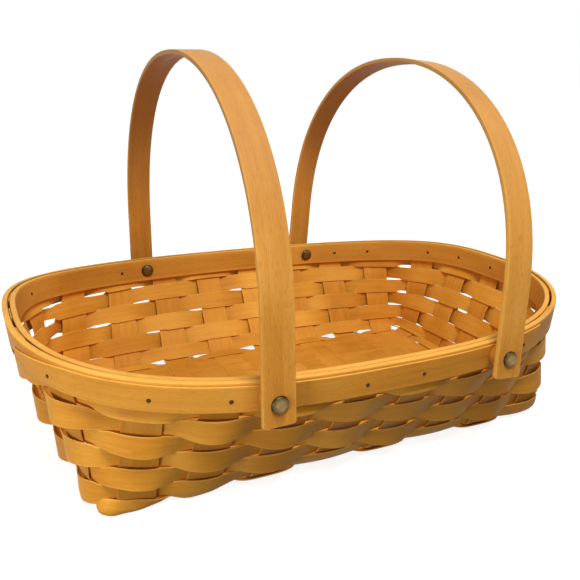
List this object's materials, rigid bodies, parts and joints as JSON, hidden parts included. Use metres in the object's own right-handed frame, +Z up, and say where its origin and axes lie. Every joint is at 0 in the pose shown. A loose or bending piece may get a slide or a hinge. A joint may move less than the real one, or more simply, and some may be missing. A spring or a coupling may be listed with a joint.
{
  "type": "mushroom foraging basket",
  "caption": "Shallow rounded-rectangle splint-woven basket with a doubled bent-wood rim and two flat bent-wood swing handles on rivets.",
  "frame": {"origin": "on the ground under the middle of the basket", "axes": "+X to the right end, along the basket's length; +Y to the far side, square to the handles' swing plane; +Z up"},
  "size_m": [0.48, 0.3816, 0.3139],
  "materials": {
    "stake_splint": "satin",
    "weaver_splint": "satin",
    "band_wood": "satin",
    "handle_wood": "satin",
    "washer_wood": "matte",
    "antique_brass": "antique"
  },
  "bodies": {
    "basket": {"cross_stake_1": "stake_splint", "cross_stake_2": "stake_splint", "cross_stake_3": "stake_splint", "cross_stake_4": "stake_splint", "cross_stake_5": "stake_splint", "cross_stake_6": "stake_splint", "cross_stake_7": "stake_splint", "cross_stake_8": "stake_splint", "long_stake_1": "stake_splint", "long_stake_2": "stake_splint", "long_stake_3": "stake_splint", "long_stake_4": "stake_splint", "long_stake_5": "stake_splint", "base_filler_1": "stake_splint", "base_filler_2": "stake_splint", "base_filler_3": "stake_splint", "base_filler_4": "stake_splint", "weaver_1": "weaver_splint", "weaver_2": "weaver_splint", "weaver_3": "weaver_splint", "weaver_4": "weaver_splint", "weaver_5": "weaver_splint", "weaver_6": "weaver_splint", "weaver_7": "weaver_splint", "inner_band": "band_wood", "outer_band": "band_wood", "cover_band": "band_wood", "rivet_front_left": "antique_brass", "rivet_front_right": "antique_brass", "rivet_back_left": "antique_brass", "rivet_back_right": "antique_brass", "washer_front_left": "washer_wood", "washer_front_right": "washer_wood", "washer_back_left": "washer_wood", "washer_back_right": "washer_wood"},
    "left_handle": {"handle_left": "handle_wood"},
    "right_handle": {"handle_right": "handle_wood"}
  },
  "joints": [
    {"name": "left_handle_hinge", "type": "hinge", "parent": "basket", "child": "left_handle", "pos_m": [-0.0926, 0, 0.0905], "axis": [0, 1, 0], "range_deg": [-106.2, 22.5]},
    {"name": "right_handle_hinge", "type": "hinge", "parent": "basket", "child": "right_handle", "pos_m": [0.0926, 0, 0.0905], "axis": [0, 1, 0], "range_deg": [-25, 103.7]}
  ]
}
